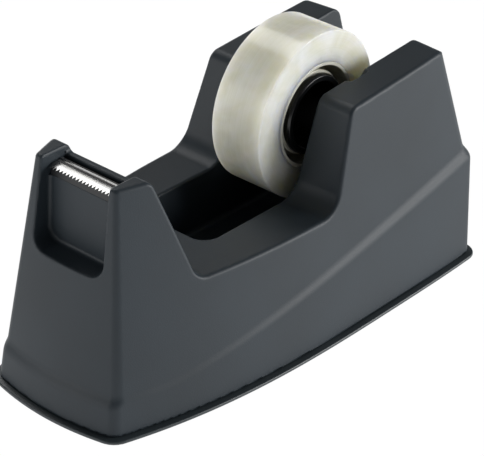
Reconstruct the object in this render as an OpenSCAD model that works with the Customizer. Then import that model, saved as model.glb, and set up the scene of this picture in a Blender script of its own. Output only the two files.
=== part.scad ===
// Weighted desktop tape dispenser for rolls on a one-inch core.
// X runs from the cutting end to the back, Y goes across and Z is up.
// The origin is on the table, under the middle of the base plate.
// Stations are distances from the front of the shell's foot towards the back.

/* [Shell outline] */
// Length of the shell at its foot
shell_length = 164.6; // [140:0.2:200]
// Width of the shell at its foot, where it is widest
shell_width = 74.4; // [68:0.2:94]
// Width of the shell at the front of its foot
front_width = 46; // [44:0.2:58]
// Station where the shell is widest
widest_station = 118; // [90:1:130]
// Depth of the curve of the front face at the foot
front_bow = 3.4; // [1:0.2:5]
// Depth of the curve of the front face at the ears' top
top_bow = 0.4; // [0.4:0.2:3]
// Depth of the curve of the back face
back_bow = 1.4; // [1:0.2:5]
// Corner radius of the shell in plan
corner_radius = 4.5; // [4:0.5:8]
// Thickness of the moulded walls
wall = 2.4; // [1.6:0.1:3]

/* [Shell profile] */
// Height of the two ears beside the blade
ear_height = 77; // [72:0.5:92]
// Station of the back of the ears
ear_back = 23.4; // [21:0.2:26]
// Height of the deck between the front and back towers
deck_height = 42.6; // [36:0.2:52]
// Station where the front tower meets the deck
deck_start = 35.8; // [33:0.2:38]
// Height of the back towers' front edge
tower_height = 74; // [70:0.5:90]
// Rise of the towers' top from that edge to the back
tower_rise = 3.6; // [1:0.2:6]
// Backward lean of the front face, in degrees
front_lean = 7.8; // [4:0.2:12]
// Step between the skirt and the front face above it
front_step = 1.2; // [0.2:0.1:1.2]
// Forward lean of the towers' back face, in degrees
back_lean = 17.4; // [8:0.2:22]
// Inward lean of the upper side walls where the shell is widest, in degrees
side_lean = 6.6; // [3:0.2:9]
// Inward lean of the upper side walls at the front, in degrees
nose_lean = 8.8; // [6:0.2:12]
// Inward lean of the side walls below the sweep line, in degrees
skirt_lean = 4.4; // [1:0.1:5]
// Height of the sweep line at the front
sweep_front = 13.4; // [8:0.2:18]
// Height of the sweep line at the back
sweep_back = 40.4; // [30:0.2:41]
// Station where the sweep line starts to rise
sweep_start = 24; // [16:1:40]
// Depth of the ledge at the back end of the sweep line
back_ledge = 2; // [1:0.2:5]
// Distance from the axle forward to the foot of the back towers' front
tower_foot_reach = 16; // [14:0.2:18]
// Distance from the axle forward to the top of the back towers' front
tower_edge_reach = 7.2; // [6:0.2:9]
// Rounding of the ears' back edge
ear_round = 3; // [1:0.5:4]
// Rounding between the front tower and the deck
valley_round = 5; // [2:0.5:6]
// Rounding between the deck and the back towers
tower_foot_round = 8; // [3:0.5:9]
// Rounding of the back towers' front edge
tower_edge_round = 4; // [1:0.5:5]
// Rounding of the back towers' back edge
tower_back_round = 5; // [3:0.5:9]

/* [Base] */
// How far the base plate stands out past the shell
base_rim = 2.1; // [0.8:0.1:3]
// Thickness of the base plate's rim, under the shell
base_thickness = 0.8; // [0.8:0.1:4]
// Thickness of the base plate's raised panel, inside the shell
panel_thickness = 1.4; // [1:0.1:3]
// Thickness of the non-slip sheet
sheet_thickness = 0.5; // [0.4:0.1:2]
// Height of the locating wall on top of the base plate
locating_height = 3.8; // [2:0.2:5]
// Thickness of the locating wall and of the fences round the ballast
locating_wall = 1.6; // [1:0.1:2.4]
// How far the non-slip sheet stands proud of the lip round it
sheet_proud = 0.1; // [0.1:0.1:0.3]
// Width of the lip round the non-slip sheet
rim_lip = 1.4; // [1:0.1:2.4]
// Radius of the base screws' shank
screw_radius = 1.4; // [1.2:0.1:1.8]
// Radius of the base screws' head
screw_head_radius = 2.8; // [2.4:0.1:3.4]
// Height of the base screws' head
screw_head_height = 1.4; // [1:0.1:2]
// Depth to which the screws enter the shell's bosses
screw_bite = 8; // [5:0.5:10]
// Radius of the bosses that take the screws
boss_radius = 3.6; // [3:0.1:4.2]

/* [Reel] */
// Width of the tape
tape_width = 19; // [12:0.5:24]
// Radius of the wound tape
tape_radius = 27.6; // [20:0.2:32]
// Outer radius of the core
core_radius = 17.3; // [16:0.1:19]
// Radius of the core's bore
core_bore = 12.85; // [11:0.05:14]
// Thickness of the core's two ring walls
core_wall = 1.05; // [0.8:0.05:1.4]
// Largest roll that the well takes, as a radius
largest_roll = 36.5; // [34:0.5:40]
// Height of the axle above the table
axle_height = 62.5; // [58:0.5:76]
// Distance from the axle to the back of the shell's foot
axle_setback = 55.6; // [54:0.2:62]
// Radius of the axle
axle_radius = 3; // [2:0.1:4]
// Thickness of the drum's wall
drum_wall = 1.7; // [1.2:0.1:2.4]
// Thickness of the collars round the axle
collar_wall = 2.4; // [1.6:0.1:3]
// Height of the snap lip on the drum's spring fingers
snap_lip = 0.5; // [0.3:0.1:0.8]
// Number of spring fingers
finger_count = 3; // [2:1:4]
// Width of the slots beside each finger
slot_width = 1.2; // [0.8:0.1:2]
// Half of the angle that each finger takes up, in degrees
finger_half_angle = 17; // [12:1:24]
// How far the core's inner ring stays inside its outer ring, on each side
ring_inset = 2.5; // [1.5:0.1:3.5]
// Thickness of the web between the core's two rings
core_web = 2; // [1:0.2:3]
// How far the cap's flange reaches past the core's bore
cap_reach = 1.6; // [1:0.1:2.4]
// Thickness of the cap's flange
cap_thickness = 1.4; // [1:0.1:2]

/* [Well] */
// Half of the gap between the towers, at the deck
gap_half = 14.6; // [13:0.1:18]
// Outward lean of the gap's walls, in degrees
gap_lean = 1.8; // [0:0.1:3]
// Height of the well's floor
well_floor = 23; // [20:0.5:25]
// Room behind the largest roll
roll_room = 5.5; // [3:0.5:6]
// Length of the deck in front of the well
front_deck = 16.4; // [10:0.2:18]
// Height of the wall behind the well
back_wall_height = 48; // [43:0.5:52]
// Corner radius of the well in plan
well_corner = 6; // [3:0.5:9]
// Depth of the grooves that hold the axle's ends
groove_depth = 2.9; // [2:0.1:4]
// Lean of the grooves from upright, in degrees
groove_lean = 39; // [20:1:45]

/* [Blade] */
// Width of the blade
blade_width = 25.6; // [20:0.2:26]
// Depth of the blade from its back edge to the roots of its teeth
blade_depth = 4.7; // [3:0.1:6]
// Thickness of the blade
blade_thickness = 0.5; // [0.3:0.1:0.8]
// Length of the teeth
tooth_length = 1.2; // [0.8:0.1:2]
// Number of teeth
tooth_count = 20; // [12:1:28]
// Height of the pocket floor under the blade carrier
pocket_floor = 70; // [67:0.5:72]
// Height of the wall behind the blade
blade_wall_height = 74; // [73:0.5:76]
// Station of the recess floor under the blade
recess_station = 15.6; // [14:0.1:17]
// Height of the shelf at the foot of the recess
recess_height = 47.6; // [44:0.2:60]
// Corner radius at the foot of the recess
recess_corner = 5; // [2:0.5:7]
// Rise of the shelf from the front face to the recess floor
shelf_rise = 1.2; // [0:0.1:2]
// Width of the trough behind the blade carrier
trough = 1.6; // [1:0.1:2]
// Backward tilt of the blade, in degrees
blade_slope = 5; // [0:1:8]
// Radius of the blade carrier's pegs
peg_radius = 1.2; // [0.8:0.1:1.6]
// Depth of the blade carrier's pegs
peg_depth = 3; // [2:0.5:4]

/* [Clearances] */
// Running clearance between the drum and its axle
running_fit = 0.08; // [0.05:0.01:0.1]
// Clearance between the core's bore and the drum
core_fit = 0.12; // [0.05:0.01:0.3]
// Clearance on each side of the axle in its grooves
groove_fit = 0.3; // [0.2:0.05:0.5]
// Clearance at each end of the axle
axle_end_fit = 0.5; // [0.3:0.05:1]
// Clearance between the drum's collars and the towers
collar_fit = 0.6; // [0.4:0.05:1]
// Clearance between parts that are fixed together
seat_fit = 0.15; // [0.1:0.05:0.3]
// Clearance between the base plate's locating wall and the shell
locating_fit = 0.3; // [0.2:0.05:0.5]
// Clearance between the screws and their pilot holes
pilot_fit = 0.05; // [0.03:0.01:0.1]
// Clearance round the blade and its carrier between the ears
blade_fit = 0.5; // [0.3:0.05:0.8]
// Clearance between the wound tape and its core
wound_fit = 0.02; // [0.01:0.01:0.05]

/* [Hidden] */
$fn = 48;

charcoal = "#3a3f43";
black = "#17191b";
far = 60;                    // longer than any wall is thick
overlap = 0.1;               // how far cutters run past a face
side_steps = 12;             // flats along each side of the outline
end_steps = 4;               // flats on each half of the outline's ends

foot = sheet_thickness + base_thickness;      // height of the shell's foot
panel_top = foot + panel_thickness;
seam_height = 0.4;                            // shadow gap above the base plate
seam_depth = 0.8;
top = max(ear_height, tower_height + tower_rise);

axle_station = shell_length - axle_setback;
tower_foot = axle_station - tower_foot_reach;
tower_edge = axle_station - tower_edge_reach;
well_front = deck_start + front_deck;
well_back = axle_station + largest_roll + roll_room;
groove_half = axle_radius + groove_fit;
groove_end = gap_half + groove_depth;

recess_half = blade_width / 2 + blade_fit;
carrier_back = recess_station + blade_depth;
pocket_back = carrier_back + trough;
carrier_height = blade_wall_height - pocket_floor - blade_thickness - blade_fit / 2;

locating_top = foot + locating_height;
pilot_depth = screw_bite + 4;
front_screw = [15, front_width / 2 - 7.5];
back_screw = [shell_length - 12.5, shell_width / 2 - 11];

drum_radius = core_bore - core_fit;
drum_bore = drum_radius - drum_wall;
collar_radius = axle_radius + collar_wall;
inner_ring_half = tape_width / 2 - ring_inset;
lip_start = inner_ring_half + locating_fit;           // the lip snaps over the core's inner ring
drum_web = [1, 3];                                    // wall that ties the drum to its collars

// Half of the shell's width at a station, before its sides lean in; the front also narrows with height.
function half_width(x, z) = shell_width / 2
    - ((shell_width - front_width) / 2 + z * (tan(nose_lean) - tan(side_lean)))
    * pow(abs(1 - x / widest_station), 3);

function front_bow_at(z) = front_bow + (top_bow - front_bow) * min(1, z / ear_height);

function skirt_front_at(z) = z * tan(front_lean);

function front_at(z) = front_step + skirt_front_at(z);

function back_at(z) = shell_length - back_ledge - (z - sweep_back) * tan(back_lean);

// Back of the hollow inside the shell.
function inner_back_at(z) = shell_length - wall - (shell_length - back_at(top)) * z / top;

// The closed outline of the shell in plan, from one end station to the other.
function outline(first, last, inset, z) = let (
    bow = front_bow_at(z), a = first + bow, b = last - back_bow,
    wa = half_width(a, z) - inset, wb = half_width(b, z) - inset)
    concat(
        [for (i = [-end_steps:end_steps]) let (t = i / end_steps) [first + bow * t * t, wa * t]],
        [for (i = [1:side_steps - 1]) let (x = a + (b - a) * i / side_steps)
            [x, half_width(x, z) - inset]],
        [for (i = [end_steps:-1:-end_steps]) let (t = i / end_steps) [last - back_bow * t * t, wb * t]],
        [for (i = [side_steps - 1:-1:1]) let (x = a + (b - a) * i / side_steps)
            [x, inset - half_width(x, z)]]);

function unit(v) = v / norm(v);

// Points of the arc of radius r that rounds the corner at b.
function arc_at(a, b, c, r, steps = 8) = r == 0 ? [b] : let (
    u = unit(a - b), v = unit(c - b), half = acos(u * v) / 2,
    centre = b + unit(u + v) * r / sin(half),
    from = b + u * r / tan(half) - centre, to = b + v * r / tan(half) - centre,
    start = atan2(from[1], from[0]),
    turn = atan2(from[0] * to[1] - from[1] * to[0], from * to))
    [for (i = [0:steps]) let (t = start + turn * i / steps) centre + r * [cos(t), sin(t)]];

// A closed polygon from corners given as [[x, y], radius].
function rounded(corners) = let (n = len(corners))
    [for (i = [0:n - 1]) each arc_at(corners[(i + n - 1) % n][0], corners[i][0],
                                     corners[(i + 1) % n][0], corners[i][1])];

// Stands a drawing of X and Z up and extrudes it across the width.
module across(half) {
    rotate([90, 0, 0]) translate([0, 0, -half]) linear_extrude(2 * half) children();
}

// Moves from stations to the part's own frame.
module placed() {
    translate([-shell_length / 2, 0, 0]) children();
}

module plan(first, last, inset, z) {
    offset(r = corner_radius - inset / 5) offset(delta = inset / 5 - corner_radius)
        polygon(outline(first, last, inset, z));
}

// Straight-sided solid between two plan outlines.
module loft(z0, z1, first0, first1, last0, last1, inset0, inset1) {
    hull() {
        translate([0, 0, z0]) linear_extrude(0.01) plan(first0, last0, inset0, z0, $fn = 32);
        translate([0, 0, z1 - 0.01]) linear_extrude(0.01) plan(first1, last1, inset1, z1, $fn = 32);
    }
}

// Height of the sweep line along the side, as corners for a rounded polygon.
module below_sweep(drop) {
    rise = (sweep_back - sweep_front) / (shell_length - sweep_start);
    across(far) polygon(rounded([
        [[-far, foot], 0], [[shell_length + far, foot], 0],
        [[shell_length + far, sweep_back + far * rise - drop], 0],
        [[shell_length, sweep_back - drop], 0],
        [[sweep_start, sweep_front - drop], far], [[-far, sweep_front - drop], 0]]));
}

// Side view of the shell above the skirt, with its front and back left long.
module side_profile() {
    apex = tower_height + tower_rise;
    across(far) polygon(rounded([
        [[-far, foot], 0], [[-far, ear_height], 0], [[ear_back, ear_height], ear_round],
        [[deck_start, deck_height], valley_round], [[tower_foot, deck_height], tower_foot_round],
        [[tower_edge, tower_height], tower_edge_round],
        [[back_at(apex) + overlap, apex], tower_back_round],
        [[back_at(foot) + overlap, foot], 0]]));
}

module outer_solid() {
    intersection() {
        loft(foot, sweep_back + 12, skirt_front_at(foot), skirt_front_at(sweep_back + 12),
             shell_length, shell_length, 0, (sweep_back + 12) * tan(skirt_lean));
        below_sweep(0);
    }
    intersection() {
        loft(foot, top + 2, front_at(foot), front_at(top + 2), back_at(foot), back_at(top + 2),
             foot * tan(side_lean), (top + 2) * tan(side_lean));
        side_profile();
        difference() {
            translate([-far, -far, foot]) cube([shell_length + 2 * far, 2 * far, top]);
            below_sweep(0.5);
        }
    }
}

// The gap between the towers and the well below it, grown by a wall.
module well(grow) {
    floor_z = well_floor - grow;
    front = well_front - grow;
    length = well_back - well_front + 2 * grow;
    rise = tan(gap_lean);
    low = gap_half + grow + (floor_z - deck_height) * rise;
    high = gap_half + grow + (top + 5 - deck_height) * rise;
    intersection() {
        translate([front, 0, 0]) rotate([90, 0, 90]) linear_extrude(shell_length + far)
            polygon([[-low, floor_z], [low, floor_z], [high, top + 5], [-high, top + 5]]);
        union() {
            translate([front, 0, floor_z]) linear_extrude(top) well_plan(length, gap_half + grow + 3);
            translate([tower_foot, -far, back_wall_height - grow]) cube([shell_length, 2 * far, top]);
        }
    }
}

// Plan of the well, with its two front and two back corners rounded.
module well_plan(length, half) {
    r = well_corner;
    polygon(rounded([[[0, -half + 3], r], [[0, half - 3], r],
                     [[length, half - 3], r], [[length, -half + 3], r]]));
}

// Sloping grooves in the towers that the axle's ends drop into, grown by a wall.
module grooves(grow) {
    half = groove_half + grow;
    translate([axle_station, 0, axle_height]) rotate([0, groove_lean, 0])
        for (side = [-1, 1]) {
            start = side > 0 ? 0 : -groove_end - grow;
            translate([0, start, 0]) rotate([-90, 0, 0]) cylinder(r = half, h = groove_end + grow);
            translate([-half, start, 0]) cube([2 * half, groove_end + grow, far]);
        }
}

// Recess in front of the blade, open at the top, grown by a wall.
module recess(grow) {
    half = recess_half + grow;
    floor_z = recess_height - grow;
    intersection() {
        translate([-far, 0, 0]) rotate([90, 0, 90]) linear_extrude(far + recess_station + grow)
            polygon(rounded([[[-half, floor_z], recess_corner], [[half, floor_z], recess_corner],
                             [[half, top + far], 0], [[-half, top + far], 0]]));
        across(far) polygon([[-far, floor_z], [front_at(recess_height), floor_z],
                             [recess_station + grow, floor_z + shelf_rise], [recess_station + grow, top + 5],
                             [-far, top + 5]]);
    }
}

// Pocket between the ears for the blade carrier, and the low wall behind it.
module blade_pocket(grow) {
    half = recess_half + grow;
    translate([recess_station - overlap, -half, pocket_floor - grow])
        cube([pocket_back + grow - recess_station + overlap, 2 * half, far]);
    if (grow == 0)
        translate([pocket_back - overlap, -half, blade_wall_height]) cube([far / 3, 2 * half, far]);
}

module at_screws() {
    for (p = [front_screw, back_screw], side = [-1, 1]) translate([p[0], side * p[1], 0]) children();
}

module inner_space() {
    difference() {
        intersection() {
            loft(0, top, front_at(0) + wall, front_at(top) + wall,
                 inner_back_at(0), inner_back_at(top), wall, top * tan(side_lean) + wall);
            translate([0, 0, -wall]) side_profile();
            translate([-far, -far, -far])
                cube([shell_length + 2 * far, 2 * far, far + pocket_floor - peg_depth]);
        }
        slope_wall();
        well(wall);
        grooves(wall);
        recess(wall);
        at_screws() translate([0, 0, panel_top]) cylinder(r = boss_radius, h = 2 * far);
    }
}

// Material kept behind the sloping back of the front tower and the towers' front.
module slope_wall() {
    across(far) polygon([[ear_back - wall, top], [deck_start - wall, deck_height - wall],
                         [deck_start - wall, top]]);
    across(far) polygon([[tower_foot + wall, deck_height - wall], [tower_edge + wall, top],
                         [deck_start, top], [deck_start, deck_height - wall]]);
    across(far) polygon([[back_at(0) - wall, 0], [back_at(top) - wall, top],
                         [shell_length + far, top], [shell_length + far, 0]]);
}

module housing_shell() {
    color(charcoal) placed() {
        difference() {
            outer_solid();
            inner_space();
            translate([0, 0, -far + foot]) linear_extrude(far) square(4 * shell_length, center = true);
            well(0);
            grooves(0);
            recess(0);
            blade_pocket(0);
            carrier_pegs(seat_fit);
            at_screws() cylinder(r = screw_radius + pilot_fit, h = panel_top + pilot_depth);
            difference() {
                translate([-far, -far, foot - overlap])
                    cube([shell_length + 2 * far, 2 * far, seam_height + overlap]);
                translate([0, 0, foot - 1])
                    linear_extrude(2) plan(skirt_front_at(foot) + seam_depth,
                                           shell_length - seam_depth, seam_depth, foot, $fn = 32);
            }
        }
    }
}

module base_plate() {
    color(black) placed() difference() {
        union() {
            translate([0, 0, sheet_thickness]) linear_extrude(base_thickness) base_outline(0);
            translate([0, 0, sheet_proud]) linear_extrude(sheet_thickness) difference() {
                base_outline(0);
                base_outline(rim_lip);
            }
            translate([0, 0, foot]) linear_extrude(panel_thickness) inner_plan(locating_fit);
            translate([0, 0, foot]) linear_extrude(locating_height) difference() {
                inner_plan(locating_fit);
                inner_plan(locating_fit + locating_wall);
            }
            ballast_fences();
        }
        at_screws() {
            translate([0, 0, -overlap]) cylinder(r = screw_radius + seat_fit, h = far);
            translate([0, 0, sheet_thickness]) cylinder(h = screw_head_height,
                r1 = screw_head_radius + seat_fit, r2 = screw_radius + seat_fit);
            translate([0, 0, panel_top]) cylinder(r = boss_radius + locating_fit, h = far);
        }
    }
}

// Outline of the base plate, made smaller by an inset.
module base_outline(inset) {
    reach = base_rim - inset;
    plan(-reach, shell_length + reach, -reach, 0, $fn = 32);
}

// Outline of the hollow inside the shell at the top of the locating wall, made smaller by an inset.
module inner_plan(inset) {
    plan(front_at(locating_top) + wall + inset, inner_back_at(locating_top) - inset,
         wall + locating_top * tan(side_lean) + inset, locating_top, $fn = 32);
}

// Footprints of the two weights: [first station, last station, half width, height].
weight_room = 2;             // least gap between a weight and the walls over it
front_weight_height = deck_height - panel_top - 11;
front_weight = [front_at(panel_top + front_weight_height) + wall + weight_room,
                well_front - wall - 5, front_screw[1] - boss_radius - 0.5, front_weight_height];
back_weight = [well_front + 4, well_back - 10, gap_half + 8,
               well_floor - wall - panel_top - weight_room];

module footprint(weight, grow) {
    translate([weight[0] - grow, -weight[2] - grow])
        square([weight[1] - weight[0] + 2 * grow, 2 * (weight[2] + grow)]);
}

module ballast_fences() {
    for (weight = [front_weight, back_weight])
        translate([0, 0, foot]) linear_extrude(locating_height) difference() {
            footprint(weight, seat_fit + locating_wall);
            footprint(weight, seat_fit);
        }
}

module ballast(weight) {
    color("dimgray") placed() translate([0, 0, panel_top]) linear_extrude(weight[3]) footprint(weight, 0);
}

module front_ballast() { ballast(front_weight); }

module back_ballast() { ballast(back_weight); }

module non_slip_sheet() {
    color("#0c0d0e") placed() linear_extrude(sheet_thickness) difference() {
        base_outline(rim_lip + seat_fit);
        at_screws() circle(r = screw_head_radius + 2 * locating_fit);
    }
}

module base_screws() {
    color("silver") placed() at_screws() difference() {
        union() {
            translate([0, 0, sheet_thickness])
                cylinder(h = screw_head_height, r1 = screw_head_radius, r2 = screw_radius);
            translate([0, 0, sheet_thickness])
                cylinder(r = screw_radius, h = panel_top - sheet_thickness + screw_bite);
        }
        translate([0, 0, sheet_thickness]) for (turn = [0, 90]) rotate([0, 0, turn])
            cube([1.4 * screw_head_radius, 0.6, screw_head_height], center = true);
    }
}

// Round pegs under the carrier, grown by a clearance.
module carrier_pegs(grow) {
    for (side = [-1, 1])
        translate([recess_station + blade_depth / 2, side * blade_width / 4, pocket_floor - peg_depth])
            cylinder(r = peg_radius + grow, h = peg_depth + overlap);
}

module blade_carrier() {
    drop = blade_depth * tan(blade_slope);
    color(black) placed() {
        across(blade_width / 2) polygon([
            [recess_station, pocket_floor], [carrier_back, pocket_floor],
            [carrier_back, pocket_floor + carrier_height],
            [recess_station, pocket_floor + carrier_height - drop]]);
        difference() {
            carrier_pegs(0);
            translate([0, 0, pocket_floor]) cube([far, far, far]);
            translate([0, -far, pocket_floor]) cube([far, far, far]);
        }
    }
}

module cutting_blade() {
    pitch = blade_width / tooth_count;
    color("lightsteelblue") placed()
        translate([carrier_back, 0, pocket_floor + carrier_height]) rotate([0, -blade_slope, 0])
        linear_extrude(blade_thickness) polygon(concat(
            [[0, -blade_width / 2], [0, blade_width / 2], [-blade_depth, blade_width / 2]],
            [for (i = [tooth_count - 1:-1:0]) each [
                [-blade_depth - tooth_length, (i + 0.5) * pitch - blade_width / 2],
                [-blade_depth, i * pitch - blade_width / 2]]]));
}

// Ring about the axle: every piece of the reel is drawn from rings.
module ring(outer, inner, y0, y1) {
    translate([axle_station, y0, axle_height]) rotate([-90, 0, 0]) difference() {
        cylinder(r = outer, h = y1 - y0);
        translate([0, 0, -overlap]) cylinder(r = inner, h = y1 - y0 + 2 * overlap);
    }
}

module hub_axle() {
    half = groove_end - axle_end_fit;
    color("silver") placed() translate([axle_station, -half, axle_height]) rotate([-90, 0, 0])
        cylinder(r = axle_radius, h = 2 * half);
}

module hub_drum() {
    bore = axle_radius + running_fit;
    collar_end = gap_half + (axle_height - deck_height) * tan(gap_lean) - collar_fit;
    open_end = -tape_width / 2 + overlap;
    color(black) placed() difference() {
        union() {
            ring(drum_radius, drum_bore, open_end, inner_ring_half);
            ring(drum_bore + overlap, bore, drum_web[0], drum_web[1]);
            ring(collar_radius, bore, -collar_end, collar_end);
            ring(drum_radius + snap_lip, drum_bore, open_end, -lip_start);
        }
        finger_slots();
    }
}

// Pairs of slots that free the spring fingers at the drum's open end.
module finger_slots() {
    for (i = [1:finger_count], side = [-1, 1])
        translate([axle_station, -tape_width / 2 - 1, axle_height])
            rotate([0, -i * 360 / finger_count - side * finger_half_angle + 95, 0])
                translate([drum_bore - 1, 0, -slot_width / 2])
                    cube([drum_wall + snap_lip + 2, tape_width / 2, slot_width]);
}

module hub_cap() {
    bore = collar_radius + seat_fit;
    flange_start = inner_ring_half + seat_fit;
    color(black) placed() {
        ring(drum_bore - seat_fit, bore, drum_web[1] + seat_fit, flange_start + cap_thickness);
        ring(core_bore + cap_reach, bore, flange_start, flange_start + cap_thickness);
    }
}

module tape_core() {
    color([0.86, 0.86, 0.78, 0.6]) placed() {
        ring(core_radius, core_radius - core_wall, -tape_width / 2, tape_width / 2);
        ring(core_radius - core_wall + overlap, core_bore + core_wall - overlap,
             -core_web / 2, core_web / 2);
        ring(core_bore + core_wall, core_bore, -inner_ring_half, inner_ring_half);
    }
}

module tape_roll() {
    color([0.8, 0.8, 0.7, 0.8]) placed()
        ring(tape_radius, core_radius + wound_fit, -tape_width / 2, tape_width / 2);
}

housing_shell();
base_plate();
non_slip_sheet();
base_screws();
front_ballast();
back_ballast();
blade_carrier();
cutting_blade();
hub_axle();
hub_drum();
hub_cap();
tape_core();
tape_roll();
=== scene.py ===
import logging
import math
from collections.abc import Callable, Sequence
from dataclasses import dataclass
from enum import Enum
from itertools import product

import bpy
import numpy as np
from mathutils import Matrix, Vector


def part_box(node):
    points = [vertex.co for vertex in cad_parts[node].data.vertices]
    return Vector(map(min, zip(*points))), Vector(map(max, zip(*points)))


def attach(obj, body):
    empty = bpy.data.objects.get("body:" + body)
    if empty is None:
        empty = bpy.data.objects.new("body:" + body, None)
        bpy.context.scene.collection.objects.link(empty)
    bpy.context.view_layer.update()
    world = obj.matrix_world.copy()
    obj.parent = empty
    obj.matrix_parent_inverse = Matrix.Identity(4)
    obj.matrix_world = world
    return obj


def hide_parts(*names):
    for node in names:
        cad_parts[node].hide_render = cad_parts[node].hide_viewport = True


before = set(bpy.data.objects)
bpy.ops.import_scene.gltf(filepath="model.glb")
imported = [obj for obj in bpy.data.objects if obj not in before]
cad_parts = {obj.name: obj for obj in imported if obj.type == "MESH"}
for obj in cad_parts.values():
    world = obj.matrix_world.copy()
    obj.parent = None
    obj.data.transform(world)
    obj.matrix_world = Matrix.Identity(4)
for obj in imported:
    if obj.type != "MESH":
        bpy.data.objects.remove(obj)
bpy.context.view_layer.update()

MM = 0.001
DRIFT_MM = 40.0  # size of the slow colour drift of a moulded or cast surface
BLADE_FIT = 0.5  # gap between the blade and the ears, in millimetres

LOG = logging.getLogger("tape_dispenser")
Array = np.ndarray
Field = Callable[[Array, Array, Array], Array]


class Body(Enum):
    """The bodies that pieces ride on."""

    HOUSING = "housing"
    AXLE = "axle"
    REEL = "reel"


def box_mm(node: str) -> tuple[Array, Array]:
    """Reads the box of a CAD node.

    Args:
        node: Name of the CAD node.

    Returns:
        Its lowest and highest corners, in millimetres.
    """
    low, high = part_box(node)
    return np.array(low) / MM, np.array(high) / MM


def linear(hex_colour: str) -> tuple[float, float, float, float]:
    """Turns an sRGB colour into linear light.

    Args:
        hex_colour: Colour such as "#3A3F43".

    Returns:
        Red, green, blue and alpha, from 0 to 1.
    """
    parts = [int(hex_colour[i:i + 2], 16) / 255 for i in (1, 3, 5)]
    light = [p / 12.92 if p <= 0.04045 else ((p + 0.055) / 1.055) ** 2.4 for p in parts]
    return (*light, 1.0)


# ---------------------------------------------------------------- distance fields

def round_max(a: Array, b: Array, radius: Array | float) -> Array:
    """Keeps what lies inside two fields and rounds the edge where they meet.

    Args:
        a: Signed distance to the first surface, negative inside.
        b: Signed distance to the second surface.
        radius: Size of the rounding, in millimetres.

    Returns:
        Signed distance to the rounded shape.
    """
    corner = np.hypot(np.maximum(a + radius, 0), np.maximum(b + radius, 0))
    return np.minimum(np.maximum(a, b), -radius) + corner


def round_min(a: Array, b: Array, radius: Array | float) -> Array:
    """Joins two fields with a fillet; the arguments are those of round_max."""
    return -round_max(-a, -b, radius)


def turn_radius(radius: Array | float, degrees: float) -> Array | float:
    """The rounding that gives an arc of this radius between faces that turn by an angle."""
    return radius * (1 - math.cos(math.radians(degrees)))


def slope(x: Array, z: Array, start: tuple[float, float], end: tuple[float, float]) -> Array:
    """Measures the distance to a sloping line of the side view.

    Args:
        x: Stations.
        z: Heights.
        start: Station and height of the line's front end.
        end: Station and height of its back end.

    Returns:
        Distance, positive above the line.
    """
    run, rise = end[0] - start[0], end[1] - start[1]
    return (run * (z - start[1]) - rise * (x - start[0])) / math.hypot(run, rise)


@dataclass(frozen=True)
class SurfaceNet:
    """Meshes the surface of a distance field with even quads."""

    pitch: float
    passes: int = 4
    probe: float = 0.04

    def build(self, shape: Field, low: Array, high: Array) -> tuple[Array, Array, Array]:
        """Meshes the zero surface inside a box.

        Args:
            shape: Distance field, negative inside.
            low: Lowest corner of the box.
            high: Highest corner of the box.

        Returns:
            Points, quads and a normal for each point.
        """
        start = low - 2 * self.pitch
        axes = [np.arange(a, b + 2 * self.pitch, self.pitch) for a, b in zip(start, high)]
        values = shape(*np.meshgrid(*axes, indexing="ij", sparse=True))
        cells, numbers = self._mixed_cells(values < 0)
        points = start + self._crossings(values, cells) * self.pitch
        for _ in range(self.passes):
            gradient = self.gradient(shape, points)
            step = gradient * (shape(*points.T) / (gradient ** 2).sum(1))[:, None]
            length = np.linalg.norm(step, axis=1, keepdims=True)
            points = points - step * np.minimum(1, 0.5 * self.pitch / np.maximum(length, 1e-9))
        normals = self.gradient(shape, points)
        normals /= np.linalg.norm(normals, axis=1, keepdims=True)
        return points, self._quads(values < 0, numbers), normals

    @staticmethod
    def _mixed_cells(inside: Array) -> tuple[Array, Array]:
        """Finds the cells that the surface passes through.

        Args:
            inside: True at each grid point inside the shape.

        Returns:
            Their grid places, and the number of each cell or -1.
        """
        count = np.zeros([n - 1 for n in inside.shape], dtype=np.int8)
        for offset in product((0, 1), repeat=3):
            count += inside[tuple(slice(k, n - 1 + k) for k, n in zip(offset, inside.shape))]
        mixed = (count > 0) & (count < 8)
        numbers = np.full(mixed.shape, -1)
        numbers[mixed] = np.arange(mixed.sum())
        return np.argwhere(mixed), numbers

    @staticmethod
    def _crossings(values: Array, cells: Array) -> Array:
        """Averages where the surface crosses each cell's edges, in grid steps."""
        total = np.zeros(cells.shape)
        count = np.zeros((len(cells), 1))
        for axis, offset in product(range(3), product((0, 1), repeat=3)):
            if offset[axis]:
                continue
            along = np.eye(3, dtype=int)[axis]
            near = cells + offset
            a, b = values[tuple(near.T)], values[tuple((near + along).T)]
            crossed = ((a < 0) != (b < 0))[:, None]
            share = (a / np.where(a == b, 1, a - b))[:, None]
            total += np.where(crossed, near + share * along, 0)
            count += crossed
        return total / count

    def gradient(self, shape: Field, points: Array) -> Array:
        """Slope of the field at each point, by central differences."""
        sides = self.probe * np.eye(3)
        return np.stack([(shape(*(points + d).T) - shape(*(points - d).T)) / (2 * self.probe)
                         for d in sides], axis=1)

    @staticmethod
    def _quads(inside: Array, numbers: Array) -> Array:
        """Joins the four cells round each grid edge that the surface crosses."""
        quads = []
        for axis in range(3):
            along, u, v = (np.eye(3, dtype=int)[(axis + k) % 3] for k in range(3))
            first = inside[tuple(slice(0, n - k) for n, k in zip(inside.shape, along))]
            last = inside[tuple(slice(k, n) for n, k in zip(inside.shape, along))]
            edges = np.argwhere(first != last)
            ring = np.stack([numbers[tuple((edges + d).T)] for d in (-u - v, -v, 0 * u, -u)],
                            axis=1)
            outward = first[tuple(edges.T)]
            quads.append(np.where(outward[:, None], ring, ring[:, ::-1]))
        return np.concatenate(quads)


# ---------------------------------------------------------------- meshes

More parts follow.
